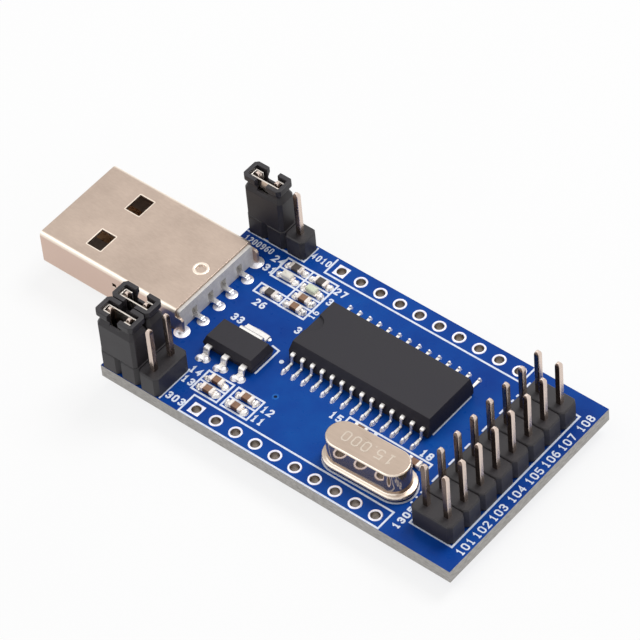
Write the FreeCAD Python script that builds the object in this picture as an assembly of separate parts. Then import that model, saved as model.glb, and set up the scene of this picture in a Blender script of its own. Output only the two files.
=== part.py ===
import FreeCAD, Part
import math
import os

# A USB to serial adapter module, in millimetres.
# Work frame: x runs along the board from the plug to the 16-pin header, y across it,
# z up. Its zero is midway between the two rows of ten holes, on the board's top face.
# Everything is moved at the end, so that the part's own origin is the middle of its
# underside, where it rests on the tails of its pins.

Vector = FreeCAD.Vector

# The grid that the board is laid out on
pitch = 2.54
hole_count = 10
row_spacing = 9 * pitch
pin_hole_radius = 0.5
land_radius = 0.75
square_land = 1.44
land_height = 0.035
land_sides = 14
hole_sides = 12
wire_sides = 8

# The board
board_thickness = 1.6
board_width = 25.4
board_plug_edge = -23.04
board_length = 44.6
board_header_edge = board_plug_edge + board_length

# The pin headers
pin_side = 0.64
pin_tip_side = 0.3
pin_taper = 0.5
pin_top = 8.4
pin_tail = -board_thickness - 1.5
cell_height = 2.54
cell_chamfer = 0.42
signal_header_x = 17.2
select_header_x = -19.21
supply_header_y = -4 * pitch
mode_header_y = row_spacing / 2

# The jumper caps
cap_length = 4.9
cap_width = 2.45
cap_chamfer = 0.35
cap_top = cell_height + 5.9
cap_groove = ((cap_top - 2.0, 0), (cap_top - 1.3, 0.33), (cap_top - 1.15, 0.33), (cap_top - 0.65, 0))
cap_pocket_length = 3.9
cap_pocket_width = 1.4
cap_notch = 1.4
cap_notch_floor = cap_top - 1.6
clip_sheet = 0.16
clip_clearance = 0.03

# The plug
plug_y = 1.4
plug_front = -38.22
plug_rear = -19.87
plug_width = 12.0
plug_height = 4.5
plug_top = 2.9
plug_sheet = 0.3
plug_corner = 0.5
notch_clearance = 0.1
notch_end = -20.2
window_x = -32.3
window_length = 1.85
window_width = 2.4
window_offset = 3.0
seam_gap = 0.12
dimple_x = -21.45
dimple_radius = 0.5
dimple_depth = 0.12
lance_x = -28.16
lance_z = 1.33
lance_size = 0.5
leg_x = -19.38
leg_width = 0.86
leg_top = 2.0
leg_bottom = -board_thickness - 1.0
leg_hole_radius = 0.55
tongue_height = 1.85
tongue_front = plug_front + 0.25
block_front = -26.4
block_rear = -19.5
contact_offsets = (-3.5, -1.0, 1.0, 3.5)
contact_width = 1.0
contact_sheet = 0.25
contact_setback = 0.9
inner_contact_setback = 1.9
tail_x = -18.5
tail_width = 0.6
tail_bottom = -board_thickness - 0.9

# The main chip
chip_x = 0.75
chip_y = 2.73
chip_length = 18.0
chip_width = 7.0
chip_bottom = 0.12
chip_middle = 1.25
chip_top = 2.45
chip_end_inset = 0.28
chip_side_inset = 0.45
index_notch_radius = 1.2
chip_lead_count = 14
chip_lead_pitch = 1.27
chip_lead_width = 0.42
chip_lead_reach = 1.95
chip_lead_shoulder = 0.36
chip_lead_run = 0.2
lead_sheet = 0.2

# The regulator
regulator_x = -12.96
regulator_y = -3.06
regulator_length = 6.5
regulator_width = 3.5
regulator_top = 1.75
regulator_inset = 0.35
regulator_lead_pitch = 2.3
regulator_lead_width = 0.72
regulator_tab_width = 3.0
regulator_shoulder = 0.45
regulator_reach = 1.5
regulator_run = 0.22

# The crystal
crystal_x = 7.62
crystal_y = -7.5
crystal_turn = 1.6
can_size = (9.75, 3.58)
can_corner = 0.28
crystal_top = 3.66
rim_size = (10.9, 4.4)
rim_round = 0.15
rim_bottom = 0.42
rim_top = 0.82
crystal_base_size = (10.5, 4.0)
crystal_standoff = 0.2
crystal_lead_spacing = 4.88
crystal_lead_radius = 0.22
crystal_lead_bottom = -board_thickness - 0.9

# The small surface parts: length along x, width along y
chip_part_length = 1.6
chip_part_width = 0.8
capacitor_height = 0.52
resistor_height = 0.45
light_height = 0.75
end_length = 0.4
land_reach = 1.35
land_width = 0.95

capacitor_places = (
    (-12.04, -7.50), (-12.04, -8.92),
    (-8.17, -7.48), (-8.32, -8.97),
    (-12.05, 6.08), (-12.05, 4.70),
    (3.53, -4.04), (10.48, -4.16),
)
resistor_places = ((-15.30, 8.93), (-12.05, 8.93), (-15.35, 4.75))
light_places = ((-15.30, 7.45), (-12.05, 7.45))

board_bottom = -board_thickness
plug_bottom = plug_top - plug_height
origin_shift = Vector(-(plug_front + board_header_edge) / 2, 0, -pin_tail)


def block(x0, x1, y0, y1, z0, z1):
    """A box between two opposite corners."""
    return Part.makeBox(x1 - x0, y1 - y0, z1 - z0, Vector(x0, y0, z0))


def outline(points):
    """A closed wire through a list of vectors."""
    return Part.makePolygon(points + [points[0]])


def upright_prism(points, z0, z1):
    """A flat outline in x and y, raised from z0 to z1."""
    wire = outline([Vector(x, y, z0) for x, y in points])
    return Part.Face(wire).extrude(Vector(0, 0, z1 - z0))


def side_prism(points, y0, y1):
    """A flat outline in x and z, drawn out along y."""
    wire = outline([Vector(x, y0, z) for x, z in points])
    return Part.Face(wire).extrude(Vector(0, y1 - y0, 0))


def end_prism(points, x0, x1):
    """A flat outline in y and z, drawn out along x."""
    wire = outline([Vector(x0, y, z) for y, z in points])
    return Part.Face(wire).extrude(Vector(x1 - x0, 0, 0))


def square_wire(x, y, z, side):
    """A level square round a centre."""
    return outline(rectangle(x, y, z, side / 2, side / 2))


def polygon(x, y, z, radius, sides):
    """The corners of a level regular polygon, which stands for a small circle."""
    turns = [math.radians((step + 0.5) * 360 / sides) for step in range(sides)]
    return [Vector(x + radius * math.cos(turn), y + radius * math.sin(turn), z) for turn in turns]


def round_wire(x, y, z, radius, sides):
    return outline(polygon(x, y, z, radius, sides))


def faceted_post(x, y, z0, z1, radius, sides):
    return Part.Face(round_wire(x, y, z0, radius, sides)).extrude(Vector(0, 0, z1 - z0))


def stadium(x, y, z0, z1, length, width):
    """An upright prism with straight sides and half-round ends."""
    radius = width / 2
    run = length / 2 - radius
    near = [Vector(x - run, y - radius, z0), Vector(x + run, y - radius, z0)]
    far = [Vector(x + run, y + radius, z0), Vector(x - run, y + radius, z0)]
    right = Part.Arc(near[1], Vector(x + run + radius, y, z0), far[0]).toShape()
    left = Part.Arc(far[1], Vector(x - run - radius, y, z0), near[0]).toShape()
    sides = [Part.makeLine(near[0], near[1]), right, Part.makeLine(far[0], far[1]), left]
    return Part.Face(Part.Wire(sides)).extrude(Vector(0, 0, z1 - z0))


def rounded_tube_outline(width, height, radius, x):
    """A rectangle with rounded corners, standing across the plug at x."""
    middle_z = (plug_top + plug_bottom) / 2
    solid = Part.makeBox(1, width, height, Vector(x, plug_y - width / 2, middle_z - height / 2))
    corners = [edge for edge in solid.Edges if edge.Length < 1.0001 and edge.BoundBox.XLength > 0.9]
    rounded = solid.makeFillet(radius, corners)
    face = min(rounded.Faces, key=lambda item: item.CenterOfMass.x)
    return face


def rounded_bar(width, height, radius, x0, x1):
    """The rounded rectangle drawn out along x."""
    return rounded_tube_outline(width, height, radius, x0).extrude(Vector(x1 - x0, 0, 0))


def save(name, solids):
    """Write one piece, or a group of like pieces, as a file of its own."""
    shape = solids[0] if len(solids) == 1 else Part.makeCompound(solids)
    shape.translate(origin_shift)
    shape.exportStep("parts/" + name + ".step")


def faceted(levels):
    """A solid with flat faces between level outlines that have the same number of corners."""
    faces = [Part.Face(outline(levels[0])), Part.Face(outline(levels[-1]))]
    for low, high in zip(levels, levels[1:]):
        for index in range(len(low)):
            after = (index + 1) % len(low)
            faces.append(Part.Face(outline([low[index], low[after], high[after], high[index]])))
    solid = Part.makeSolid(Part.makeShell(faces))
    if solid.Volume < 0:
        solid.reverse()
    return solid


def rectangle(x, y, z, half_x, half_y):
    """The four corners of a level rectangle round a centre."""
    corners = ((-half_x, -half_y), (half_x, -half_y), (half_x, half_y), (-half_x, half_y))
    return [Vector(x + dx, y + dy, z) for dx, dy in corners]


def grid(x_middle, y_middle, columns, rows):
    """The places of a block of pins."""
    return [
        (x_middle + (i - (columns - 1) / 2) * pitch, y_middle + (j - (rows - 1) / 2) * pitch)
        for i in range(columns)
        for j in range(rows)
    ]


signal_pins = grid(signal_header_x, 0, 2, 8)
supply_pins = grid(select_header_x, supply_header_y, 3, 2)
mode_pins = grid(select_header_x, mode_header_y, 3, 1)
near_row = grid(0, -row_spacing / 2, hole_count, 1)
far_row = grid(0, row_spacing / 2, hole_count, 1)
lead_dx = crystal_lead_spacing / 2 * math.cos(math.radians(crystal_turn))
lead_dy = crystal_lead_spacing / 2 * math.sin(math.radians(crystal_turn))
crystal_lead_places = [(crystal_x + side * lead_dx, crystal_y + side * lead_dy) for side in (-1, 1)]
cap_places = (
    ("supply_cap_near", select_header_x - pitch / 2, supply_header_y - pitch / 2, 1),
    ("supply_cap_far", select_header_x - pitch / 2, supply_header_y + pitch / 2, -1),
    ("mode_cap", select_header_x - pitch / 2, mode_header_y, -1),
)
plug_tails = [(tail_x, plug_y + offset) for offset in contact_offsets]
plug_legs = [(leg_x, plug_y + side * (plug_width - plug_sheet) / 2) for side in (-1, 1)]


def circuit_board():
    """One sheet, cut away round the plug, with every hole in it."""
    half = board_width / 2
    gap = plug_width / 2 + notch_clearance
    corners = [
        (board_plug_edge, -half), (board_header_edge, -half),
        (board_header_edge, half), (board_plug_edge, half),
        (board_plug_edge, plug_y + gap), (notch_end, plug_y + gap),
        (notch_end, plug_y - gap), (board_plug_edge, plug_y - gap),
    ]
    wires = [outline([Vector(x, y, board_bottom) for x, y in corners])]
    for row in (near_row, far_row):
        wires.append(square_wire(*row[0], board_bottom, square_land))
        wires += [round_wire(x, y, board_bottom, land_radius, land_sides) for x, y in row[1:]]
    for x, y in signal_pins + supply_pins + mode_pins:
        wires.append(square_wire(x, y, board_bottom, pin_side))
    wires += [round_wire(x, y, board_bottom, pin_hole_radius, hole_sides) for x, y in plug_tails]
    wires += [round_wire(x, y, board_bottom, leg_hole_radius, hole_sides) for x, y in plug_legs]
    wires += [round_wire(x, y, board_bottom, crystal_lead_radius, wire_sides) for x, y in crystal_lead_places]
    face = Part.makeFace(wires, "Part::FaceMakerBullseye")
    return face.extrude(Vector(0, 0, board_thickness))


def plated_hole(x, y, squared):
    """A metal lining with a land on each face, proud of the board by the copper."""
    low = board_bottom - land_height
    if squared:
        outer = square_wire(x, y, low, square_land)
    else:
        outer = round_wire(x, y, low, land_radius, land_sides)
    inner = round_wire(x, y, low, pin_hole_radius, hole_sides)
    face = Part.makeFace([outer, inner], "Part::FaceMakerBullseye")
    return face.extrude(Vector(0, 0, board_thickness + 2 * land_height))


def plated_row(places):
    """The first hole of a row has a square land."""
    return [plated_hole(x, y, index == 0) for index, (x, y) in enumerate(places)]


def header_base(places):
    """Cells of moulded plastic in one piece, with a notch where two cells meet."""
    xs = sorted({round(x, 3) for x, y in places})
    ys = sorted({round(y, 3) for x, y in places})
    half = pitch / 2
    cut = cell_chamfer
    points = []
    for x in xs:
        points += [(x - half + cut, ys[0] - half), (x + half - cut, ys[0] - half), (x + half, ys[0] - half + cut)]
    points.pop()
    for y in ys:
        points += [(xs[-1] + half, y - half + cut), (xs[-1] + half, y + half - cut), (xs[-1] + half - cut, y + half)]
    points.pop()
    for x in reversed(xs):
        points += [(x + half - cut, ys[-1] + half), (x - half + cut, ys[-1] + half), (x - half, ys[-1] + half - cut)]
    points.pop()
    for y in reversed(ys):
        points += [(xs[0] - half, y + half - cut), (xs[0] - half, y - half + cut), (xs[0] - half + cut, y - half)]
    points.pop()
    wires = [outline([Vector(x, y, 0) for x, y in points])]
    wires += [square_wire(x, y, 0, pin_side) for x, y in places]
    face = Part.makeFace(wires, "Part::FaceMakerBullseye")
    return face.extrude(Vector(0, 0, cell_height))


def header_pin(x, y):
    """A square pin with both ends tapered."""
    sections = (
        (pin_tail, pin_tip_side), (pin_tail + pin_taper, pin_side),
        (pin_top - pin_taper, pin_side), (pin_top, pin_tip_side),
    )
    return faceted([rectangle(x, y, z, side / 2, side / 2) for z, side in sections])


def jumper_housing(x, y):
    """A moulded cap: a body, a groove to grip it by, two horns at the top and a pocket right through."""
    def level(z, inset):
        half_x = cap_length / 2 - inset
        half_y = cap_width / 2 - inset
        cut = cap_chamfer - inset / 2
        points = []
        for sx, sy in ((-1, -1), (1, -1), (1, 1), (-1, 1)):
            along = Vector(x + sx * (half_x - cut), y + sy * half_y, z)
            across = Vector(x + sx * half_x, y + sy * (half_y - cut), z)
            points += [across, along] if sx * sy > 0 else [along, across]
        return points

    body = faceted([level(z, inset) for z, inset in ((cell_height, 0),) + cap_groove + ((cap_top, 0),)])
    pocket = block(
        x - cap_pocket_length / 2, x + cap_pocket_length / 2,
        y - cap_pocket_width / 2, y + cap_pocket_width / 2, cell_height, cap_top,
    )
    notch = block(x - cap_notch / 2, x + cap_notch / 2, y - cap_width, y + cap_width, cap_notch_floor, cap_top)
    return body.cut([pocket, notch])


def jumper_clip(x, y, facing):
    """A folded strip: a back wall beside both pins, and a finger round the far side of each."""
    inner = pin_side / 2 + clip_clearance
    outer = inner + clip_sheet
    end = cap_pocket_length / 2 - clip_clearance
    finger = pitch / 2 - pin_side / 2
    points = [
        (-finger, -outer), (-end, -outer), (-end, outer), (end, outer), (end, -outer), (finger, -outer),
        (finger, -inner), (end - clip_sheet, -inner), (end - clip_sheet, inner),
        (-end + clip_sheet, inner), (-end + clip_sheet, -inner), (-finger, -inner),
    ]
    placed = [(x + px, y + facing * py) for px, py in points]
    return upright_prism(placed, cell_height + 0.3, cap_top - 0.35)


def plug_shell():
    """A folded tube with a seam below, windows above and below, a dimple and two legs."""
    outer = rounded_bar(plug_width, plug_height, plug_corner, plug_front, plug_rear)
    bore_width = plug_width - 2 * plug_sheet
    bore_height = plug_height - 2 * plug_sheet
    bore = rounded_bar(bore_width, bore_height, plug_corner - plug_sheet, plug_front, plug_rear)
    low = plug_bottom - 1
    cuts = [bore]
    for side in (-1, 1):
        y = plug_y + side * window_offset
        cuts.append(block(
            window_x - window_length / 2, window_x + window_length / 2,
            y - window_width / 2, y + window_width / 2, low, plug_top + 1,
        ))
    cuts.append(block(plug_front, plug_rear, plug_y - seam_gap / 2, plug_y + seam_gap / 2, low, plug_bottom + 1))
    cuts.append(block(notch_end - 0.05, plug_rear, plug_y - plug_width, plug_y + plug_width, low, 0.02))
    cuts.append(faceted_post(dimple_x, plug_y, plug_top - dimple_depth, plug_top + 1, dimple_radius, 8))
    cuts.append(block(
        lance_x - lance_size / 2, lance_x + lance_size / 2, plug_y - plug_width, plug_y + plug_width,
        lance_z - lance_size / 2, lance_z + lance_size / 2,
    ))
    shell = outer.cut(cuts)
    half = leg_width / 2
    leg_outline = [
        (plug_rear - 0.2, leg_top), (leg_x + half - 0.25, leg_top), (leg_x + half, leg_top - 0.25),
        (leg_x + half, leg_bottom + 0.35), (leg_x + half - 0.25, leg_bottom),
        (leg_x - half + 0.25, leg_bottom), (leg_x - half, leg_bottom + 0.35),
        (leg_x - half, 0.3), (plug_rear - 0.2, 0.3),
    ]
    legs = []
    for x, y in plug_legs:
        legs.append(side_prism(leg_outline, y - plug_sheet / 2, y + plug_sheet / 2))
    return shell.fuse(legs).removeSplitter()


def plug_contact(index):
    """A strip along the tongue whose narrow tail bends down through the board."""
    offset = contact_offsets[index]
    setback = contact_setback if abs(offset) > 2 else inner_contact_setback
    y = plug_y + offset
    floor = plug_bottom + plug_sheet + tongue_height - contact_sheet
    top = floor + contact_sheet
    half = contact_width / 2
    strip = block(plug_front + setback, block_front + 2, y - half, y + half, floor, top)
    near = tail_x - contact_sheet / 2
    far = tail_x + contact_sheet / 2
    tail = side_prism(
        [
            (block_front + 2, floor), (near, floor), (near, tail_bottom), (far, tail_bottom),
            (far, top - contact_sheet / 2), (far - contact_sheet / 2, top), (block_front + 2, top),
        ],
        y - tail_width / 2, y + tail_width / 2,
    )
    return strip.fuse(tail).removeSplitter()


def plug_insulator(contacts):
    """The tongue and the rear block in one moulding, with a groove for each contact."""
    width = plug_width - 2 * plug_sheet
    height = plug_height - 2 * plug_sheet
    low = plug_bottom + plug_sheet
    body = rounded_bar(width, height, plug_corner - plug_sheet, block_front, block_rear)
    overhang = block(notch_end - 0.05, block_rear + 1, plug_y - width, plug_y + width, low - 1, 0)
    tongue_outline = [
        (tongue_front, low + 0.4), (tongue_front + 0.4, low), (block_front + 0.5, low),
        (block_front + 0.5, low + tongue_height), (tongue_front + 0.2, low + tongue_height),
        (tongue_front, low + tongue_height - 0.2),
    ]
    half = width / 2 - 0.2
    tongue = side_prism(tongue_outline, plug_y - half, plug_y + half)
    slots = []
    for offset in contact_offsets:
        y = plug_y + offset
        slots.append(block(block_rear - 0.6, block_rear + 1, y - 0.4, y + 0.4, low + tongue_height - 0.02, 1.55))
    return body.fuse(tongue).cut([overhang] + slots + contacts).removeSplitter()


def moulded_body(x, y, length, width, low, middle, high, end_inset, side_inset):
    """A package whose four sides lean in above and below its parting line."""
    layers = ((low, 0.5), (middle, 0), (high, 1))
    return faceted([
        rectangle(x, y, z, length / 2 - share * end_inset, width / 2 - share * side_inset)
        for z, share in layers
    ])


def gull_wing(x, y, side, width, shoulder, run, reach, knee_height, sheet):
    """A lead that leaves the body level, drops and ends in a flat foot on the board."""
    profile = [
        (-0.3, knee_height + sheet / 2), (shoulder, knee_height + sheet / 2), (shoulder + run, sheet),
        (reach, sheet), (reach, 0), (shoulder + run - sheet, 0), (shoulder - 0.5 * sheet, knee_height - sheet / 2),
        (-0.3, knee_height - sheet / 2),
    ]
    placed = [(y + side * out, z) for out, z in profile]
    return end_prism(placed, x - width / 2, x + width / 2)


def chip_body():
    """The moulding, with a half-round index notch in the top of its plug end."""
    body = moulded_body(
        chip_x, chip_y, chip_length, chip_width, chip_bottom, chip_middle, chip_top,
        chip_end_inset, chip_side_inset,
    )
    notch_x = chip_x - chip_length / 2 + chip_end_inset
    index_notch = faceted_post(notch_x, chip_y, chip_top - 0.25, chip_top + 1, index_notch_radius, 16)
    return body.cut(index_notch)


def chip_leads(side, body):
    """Fourteen like leads in a row, each cut to the slope of the body that it leaves."""
    first = chip_x - (chip_lead_count - 1) / 2 * chip_lead_pitch
    leads = []
    for index in range(chip_lead_count):
        lead = gull_wing(
            first + index * chip_lead_pitch, chip_y + side * chip_width / 2, side,
            chip_lead_width, chip_lead_shoulder, chip_lead_run, chip_lead_reach, chip_middle, lead_sheet,
        )
        leads.append(lead.cut(body))
    return leads


def regulator_strip(x, side, width):
    """One lead of the regulator, or its tab, which is bent in the same way."""
    edge = regulator_y + side * regulator_width / 2
    return gull_wing(x, edge, side, width, regulator_shoulder, regulator_run, regulator_reach, 0.85, 0.28)


def regulator_leads():
    return [
        regulator_strip(regulator_x + side * regulator_lead_pitch, -1, regulator_lead_width)
        for side in (-1, 1)
    ]


def regulator_tab():
    """The wide tab and the middle lead, one piece of metal that runs through the body."""
    near = regulator_y - regulator_width / 2
    far = regulator_y + regulator_width / 2
    lead = regulator_strip(regulator_x, -1, regulator_lead_width)
    tab = regulator_strip(regulator_x, 1, regulator_tab_width)
    half = regulator_lead_width / 2
    link = block(regulator_x - half, regulator_x + half, near + 0.2, far - 0.2, 0.71, 0.99)
    return lead.fuse([tab, link]).removeSplitter()


def regulator_body(metal):
    body = moulded_body(
        regulator_x, regulator_y, regulator_length, regulator_width, 0.06, 0.85,
        regulator_top, regulator_inset, regulator_inset,
    )
    return body.cut(metal)


def crystal_layer(z0, z1, size):
    """An upright layer of the crystal, turned with it."""
    layer = stadium(crystal_x, crystal_y, z0, z1, *size)
    return layer.rotated(Vector(crystal_x, crystal_y, 0), Vector(0, 0, 1), crystal_turn)


def crystal_can():
    """A drawn can with a rounded top and a rolled rim at its foot."""
    can = crystal_layer(rim_bottom, crystal_top, can_size)
    top_edges = [edge for edge in can.Edges if edge.BoundBox.ZMin > crystal_top - 0.001]
    can = can.makeChamfer(can_corner, top_edges)
    rim = crystal_layer(rim_bottom, rim_top, rim_size)
    upper_edges = [edge for edge in rim.Edges if edge.BoundBox.ZMin > rim_top - 0.001]
    rim = rim.makeChamfer(rim_round, upper_edges)
    return can.fuse(rim).removeSplitter()


def crystal_base():
    """The plate that closes the can, held just off the board."""
    return crystal_layer(crystal_standoff, rim_bottom, crystal_base_size)


def crystal_leads():
    return [
        faceted_post(x, y, crystal_lead_bottom, crystal_standoff, crystal_lead_radius, wire_sides)
        for x, y in crystal_lead_places
    ]


def part_body(x, y, height):
    half = chip_part_length / 2 - end_length
    return block(x - half, x + half, y - chip_part_width / 2, y + chip_part_width / 2, 0.03, height)


def part_ends(x, y, height):
    """The two metal ends, each with the wedge of solder that holds it to its land."""
    inner = chip_part_length / 2 - end_length
    face = chip_part_length / 2
    profile = [
        (inner, 0), (land_reach, 0), (land_reach, 0.06), (face + 0.03, 0.55 * height),
        (face, height + 0.02), (inner, height + 0.02),
    ]
    width = land_width / 2
    return [
        side_prism([(x + side * out, z) for out, z in profile], y - width, y + width)
        for side in (-1, 1)
    ]


def light_body(x, y, height):
    """A flat base with a clear lens moulded on it, its four sides leaning in."""
    base = part_body(x, y, 0.3)
    lens = moulded_body(x, y, 1.1, chip_part_width, 0.3, 0.32, height, 0.12, 0.12)
    return base.fuse(lens).removeSplitter()


def solder_cone(x, y, surface, height, wide, narrow, hole_x, hole_y):
    """A six-sided cone of solder on one face of the board, round what it holds."""
    cone = faceted([polygon(x, y, surface, wide, 6), polygon(x, y, surface + height, narrow, 6)])
    low = min(surface, surface + height) - 1
    return cone.cut(block(x - hole_x / 2, x + hole_x / 2, y - hole_y / 2, y + hole_y / 2, low, low + 3))


def plug_solder(plug_pieces):
    """The joints of the plug's tails and legs, above and below the board."""
    joints = []
    for surface, height in ((0, 0.3), (board_bottom, -0.5)):
        for x, y in plug_tails:
            joints.append(solder_cone(x, y, surface, height, 0.85, 0.45, contact_sheet, tail_width))
        for x, y in plug_legs:
            joint = solder_cone(x, y, surface, height, 0.86, 0.62, leg_width, plug_sheet)
            joints.append(joint.cut(plug_pieces))
    return joints


def header_solder():
    """A joint round the foot of every header pin, and round the two leads of the crystal."""
    joints = []
    for x, y in signal_pins + supply_pins + mode_pins:
        joints.append(solder_cone(x, y, board_bottom, -0.7, 0.9, 0.54, pin_side, pin_side))
    return joints


def build():
    contacts = [plug_contact(index) for index in range(len(contact_offsets))]
    chip = chip_body()
    tab = regulator_tab()
    outer_leads = regulator_leads()
    shell = plug_shell()
    insulator = plug_insulator(contacts)
    pieces = {
        "circuit_board": [circuit_board()],
        "near_row_plated_holes": plated_row(near_row),
        "far_row_plated_holes": plated_row(far_row),
        "usb_shell": [shell],
        "usb_insulator": [insulator],
        "usb_solder_joints": plug_solder([shell, insulator]),
        "serial_chip_body": [chip],
        "serial_chip_near_leads": chip_leads(-1, chip),
        "serial_chip_far_leads": chip_leads(1, chip),
        "regulator_body": [regulator_body([tab] + outer_leads)],
        "regulator_tab": [tab],
        "regulator_leads": outer_leads,
        "crystal_can": [crystal_can()],
        "crystal_base": [crystal_base()],
        "crystal_leads": crystal_leads(),
        "header_solder_joints": header_solder(),
    }
    for index, contact in enumerate(contacts):
        pieces["usb_contact_" + str(index + 1)] = [contact]
    headers = (("signal", signal_pins), ("supply", supply_pins), ("mode", mode_pins))
    for name, places in headers:
        pieces[name + "_header_base"] = [header_base(places)]
        pieces[name + "_header_pins"] = [header_pin(x, y) for x, y in places]
    for name, x, y, facing in cap_places:
        pieces[name + "_housing"] = [jumper_housing(x, y)]
        pieces[name + "_clip"] = [jumper_clip(x, y, facing)]
    groups = (
        ("capacitor", capacitor_places, capacitor_height, capacitor_height, part_body),
        ("resistor", resistor_places, resistor_height, resistor_height, part_body),
        ("light", light_places, light_height, 0.28, light_body),
    )
    for name, places, height, end_height, make_body in groups:
        for index, (x, y) in enumerate(places):
            node = name + "_" + str(index + 1)
            pieces[node + "_body"] = [make_body(x, y, height)]
            pieces[node + "_ends"] = part_ends(x, y, end_height)
    return pieces


os.makedirs("parts", exist_ok=True)
for name, solids in build().items():
    save(name, solids)
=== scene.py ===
# %% [markdown]
# A USB to serial adapter module is a small blue circuit board with a metal plug let into one
# end, a chip, a regulator, a crystal, rows of plated holes, pin headers and jumper caps.
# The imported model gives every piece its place. This script loads it, makes the finishes, and
# then stands a finer mesh in the place of each solid: rounded edges, solder, bent leads, ink.

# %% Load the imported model
import math
import random

import bmesh
import bpy
from mathutils import Matrix, Vector


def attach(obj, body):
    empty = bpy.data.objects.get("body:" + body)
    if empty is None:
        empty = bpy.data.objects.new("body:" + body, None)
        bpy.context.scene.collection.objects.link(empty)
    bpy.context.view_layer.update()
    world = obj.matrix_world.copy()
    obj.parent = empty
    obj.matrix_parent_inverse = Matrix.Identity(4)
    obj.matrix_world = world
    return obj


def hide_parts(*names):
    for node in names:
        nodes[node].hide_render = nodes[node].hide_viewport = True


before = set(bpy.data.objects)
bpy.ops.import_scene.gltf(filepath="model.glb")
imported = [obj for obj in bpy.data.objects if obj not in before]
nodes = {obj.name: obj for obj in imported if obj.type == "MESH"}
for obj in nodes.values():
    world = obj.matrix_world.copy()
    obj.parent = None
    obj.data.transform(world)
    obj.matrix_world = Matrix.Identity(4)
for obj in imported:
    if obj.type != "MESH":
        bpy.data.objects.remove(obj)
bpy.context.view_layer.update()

# %% [markdown]
# Everything on the board was measured from its middle, on its top face, in millimetres. Blender
# works in metres from the model's own origin, so one function moves a point from one to the other.

# %% From board millimetres to metres
MM = 0.001
BOARD_ORIGIN = Vector((8.33, 0, 3.1))


def at(x, y, z):
    """A place on the board in millimetres, as a point of the model in metres."""
    return (Vector((x, y, z)) + BOARD_ORIGIN) * MM


print("board top at", round(at(0, 0, 0).z, 5), "m")

# %% [markdown]
# A finish is a Principled shader with a few texture nodes before it. Wrapping a socket in a
# small class lets the maths be read as maths: grain * 0.5 + 0.2 adds its own Math nodes, and
# the reflected forms let 1 - grain work too. Colours go through Mix, which keeps their hue.
# The surround's nodes are made by the same method, so Nodes is a class of its own.

# %% Shader expressions
class Value:
    """A number or colour that changes over a surface, with arithmetic that adds Math nodes."""

    def __init__(self, owner, socket):
        self.owner = owner
        self.socket = socket

    def math(self, operation, *numbers):
        return self.owner.node("ShaderNodeMath", {"operation": operation}, dict(enumerate(numbers)))

    def __add__(self, other):
        return self.math("ADD", self, other)

    def __radd__(self, other):
        return self.math("ADD", other, self)

    def __sub__(self, other):
        return self.math("SUBTRACT", self, other)

    def __rsub__(self, other):
        return self.math("SUBTRACT", other, self)

    def __mul__(self, other):
        return self.math("MULTIPLY", self, other)

    def __rmul__(self, other):
        return self.math("MULTIPLY", other, self)

    def __gt__(self, other):
        return self.math("GREATER_THAN", self, other)

    def absolute(self):
        return self.math("ABSOLUTE", self)

    def larger(self, other):
        return self.math("MAXIMUM", self, other)


class Nodes:
    """The nodes of a material or of the surround."""

    def __init__(self, tree):
        self.tree = tree

    def node(self, kind, settings=None, inputs=None, output=0):
        """Add a node: its settings first, then the value or link of each socket."""
        made = self.tree.nodes.new(kind)
        for key, value in (settings or {}).items():
            if key == "stops":
                ramp = made.color_ramp
                while len(ramp.elements) < len(value):
                    ramp.elements.new(0.5)
                for element, (place, colour) in zip(ramp.elements, value):
                    element.position = place
                    element.color = (*colour, 1)
            else:
                setattr(made, key, value)
        for key, value in (inputs or {}).items():
            socket = made.inputs[key]
            if isinstance(value, Value):
                self.tree.links.new(value.socket, socket)
            elif isinstance(value, tuple) and len(value) == 3 and socket.type == "RGBA":
                socket.default_value = (*value, 1)
            else:
                socket.default_value = value
        return Value(self, made.outputs[output]) if made.outputs else None

    def ray(self, kind):
        """1 for a ray of this kind: Camera, Glossy or Transmission."""
        return self.node("ShaderNodeLightPath", output=f"Is {kind} Ray")


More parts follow.
